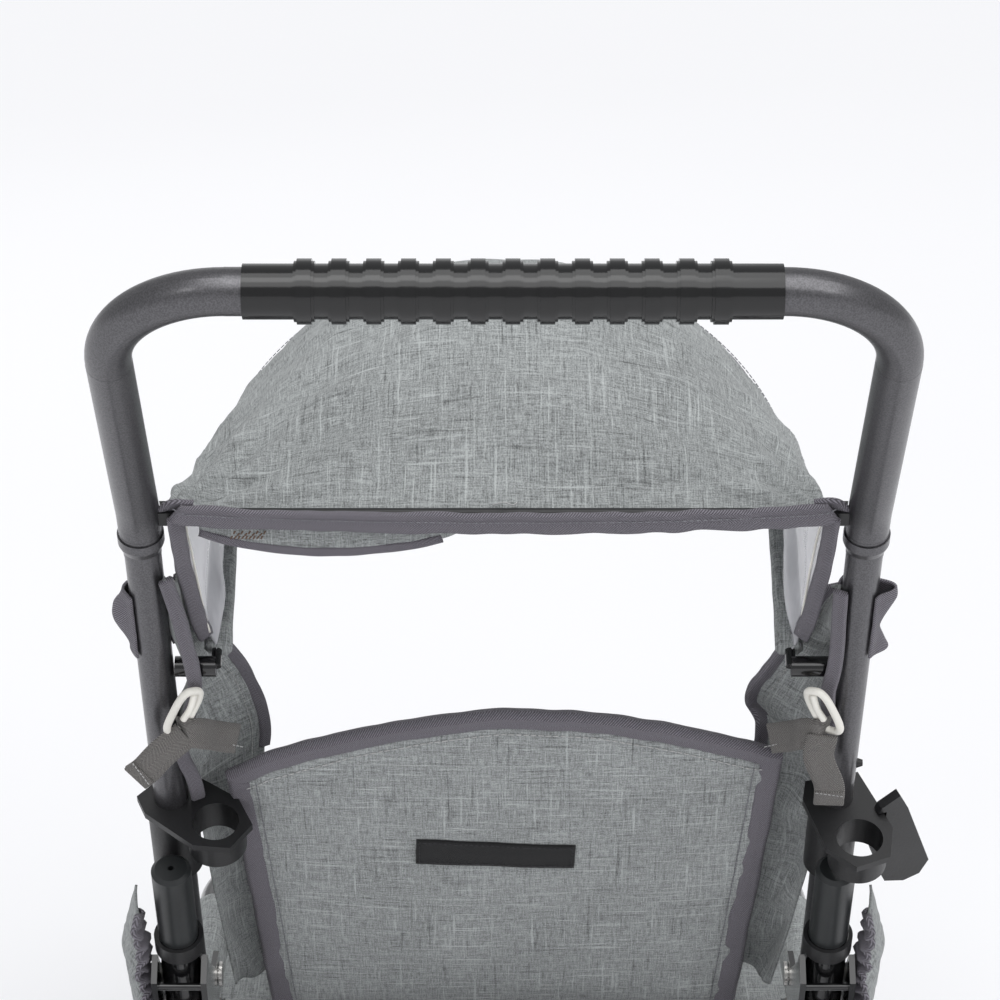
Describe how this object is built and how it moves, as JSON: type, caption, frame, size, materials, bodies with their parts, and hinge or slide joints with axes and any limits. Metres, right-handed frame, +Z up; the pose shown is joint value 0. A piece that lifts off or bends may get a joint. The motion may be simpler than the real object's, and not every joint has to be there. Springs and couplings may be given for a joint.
{
  "type": "doll stroller",
  "caption": "Folding doll stroller with push handle, hood with clear side windows, padded seat, storage basket and swivelling front wheel.",
  "frame": {"origin": "middle of the overall box, on the ground under the wheels", "axes": "+Z up, -Y towards the front wheel, +X to the left of someone pushing it"},
  "size_m": [0.455, 0.5654, 0.6634],
  "materials": {
    "black_frame": "glossy black enamel on steel tube",
    "gunmetal": "satin gunmetal paint",
    "gloss_black": "smooth glossy black moulding",
    "matt_black": "semi-matt black moulding",
    "bright_steel": "plain zinc-bright steel",
    "marl_cloth": "plain-weave grey marl with slubs",
    "twill_tape": "grey twill binding",
    "webbing": "warm grey herringbone webbing",
    "label": "black woven patch, blank",
    "clear_film": "soft milky clear film",
    "white_plastic": "cream white moulding",
    "rim_plastic": "pale grey moulding",
    "tyre": "black foam tyre"
  },
  "bodies": {
    "frame": {"side_tube_l": "black_frame", "side_tube_r": "black_frame", "plug_l": "gloss_black", "plug_r": "gloss_black", "collar_l": "matt_black", "collar_r": "matt_black", "hinge_plates_l": "black_frame", "hinge_plates_r": "black_frame", "hinge_pin_l": "bright_steel", "hinge_pin_r": "bright_steel", "front_cross": "black_frame", "steer_head": "matt_black", "footrest": "matt_black", "seat_deck": "marl_cloth", "seat_cushion": "marl_cloth", "basket": "marl_cloth", "skirt_l": "marl_cloth", "skirt_r": "marl_cloth", "lap_belt": "webbing", "crotch_strap": "webbing", "buckle": "matt_black"},
    "handle": {"handle_tube": "gunmetal", "lower_tube_l": "gunmetal", "lower_tube_r": "gunmetal", "joint_ring_l": "gunmetal", "joint_ring_r": "gunmetal", "grip": "gloss_black", "nubs": "matt_black", "hood_rod": "matt_black", "seat_back": "marl_cloth", "back_patch": "label", "wing_l": "marl_cloth", "wing_r": "marl_cloth", "window_l": "clear_film", "window_r": "clear_film", "clip_l": "white_plastic", "clip_r": "white_plastic", "strap_l": "webbing", "strap_r": "webbing", "wrap_l": "twill_tape", "wrap_r": "twill_tape", "hood": "marl_cloth"},
    "hood_bow": {"hood_bow": "black_frame"},
    "lock_l": {"lock_sleeve_l": "matt_black", "lock_skirt_l": "matt_black"},
    "lock_r": {"lock_sleeve_r": "matt_black", "lock_skirt_r": "matt_black", "lock_paddle": "matt_black"},
    "rear_legs": {"rear_leg_l": "black_frame", "rear_leg_r": "black_frame", "rear_axle": "bright_steel", "leg_brace": "black_frame"},
    "rear_wheel_l": {"rear_rim_l": "rim_plastic", "rear_tyre_l": "tyre"},
    "rear_wheel_r": {"rear_rim_r": "rim_plastic", "rear_tyre_r": "tyre"},
    "fork": {"fork": "matt_black", "front_axle": "bright_steel"},
    "front_wheel": {"front_rim": "rim_plastic", "front_tyre": "tyre"}
  },
  "joints": [
    {"name": "handle_fold", "type": "hinge", "parent": "frame", "child": "handle", "pos_m": [0, 0.00115, 0.1955], "axis": [1, 0, 0], "range_deg": [0, 105], "deforming": ["wing_l", "wing_r", "window_l", "window_r", "skirt_l", "skirt_r", "basket", "lap_belt", "crotch_strap", "strap_l", "strap_r"]},
    {"name": "rear_fold", "type": "hinge", "parent": "frame", "child": "rear_legs", "pos_m": [0, 0.02631, 0.18323], "axis": [1, 0, 0], "range_deg": [-52.5, 0]},
    {"name": "rear_spin_l", "type": "hinge", "parent": "rear_legs", "child": "rear_wheel_l", "pos_m": [0.207, 0.1269, 0.075], "axis": [1, 0, 0], "continuous": true},
    {"name": "rear_spin_r", "type": "hinge", "parent": "rear_legs", "child": "rear_wheel_r", "pos_m": [-0.207, 0.1269, 0.075], "axis": [1, 0, 0], "continuous": true},
    {"name": "front_swivel", "type": "hinge", "parent": "frame", "child": "fork", "pos_m": [0, -0.20871, 0.16009], "axis": [0, 0, 1], "continuous": true},
    {"name": "front_spin", "type": "hinge", "parent": "fork", "child": "front_wheel", "pos_m": [0, -0.18471, 0.065], "axis": [1, 0, 0], "continuous": true},
    {"name": "hood_tilt", "type": "hinge", "parent": "handle", "child": "hood_bow", "pos_m": [0, 0.10986, 0.41841], "axis": [1, 0, 0], "range_deg": [-55, 10], "deforming": ["hood"]},
    {"name": "lock_turn_l", "type": "hinge", "parent": "handle", "child": "lock_l", "pos_m": [0.165, 0.0669, 0.33032], "axis": [0, 0.4384, 0.8988], "range_deg": [-110, 0]},
    {"name": "lock_turn_r", "type": "hinge", "parent": "handle", "child": "lock_r", "pos_m": [-0.165, 0.0669, 0.33032], "axis": [0, 0.4384, 0.8988], "range_deg": [-21, 70]}
  ],
  "couplings": [
    {"joint": "rear_fold", "follows": "handle_fold", "ratio": -0.5}
  ]
}
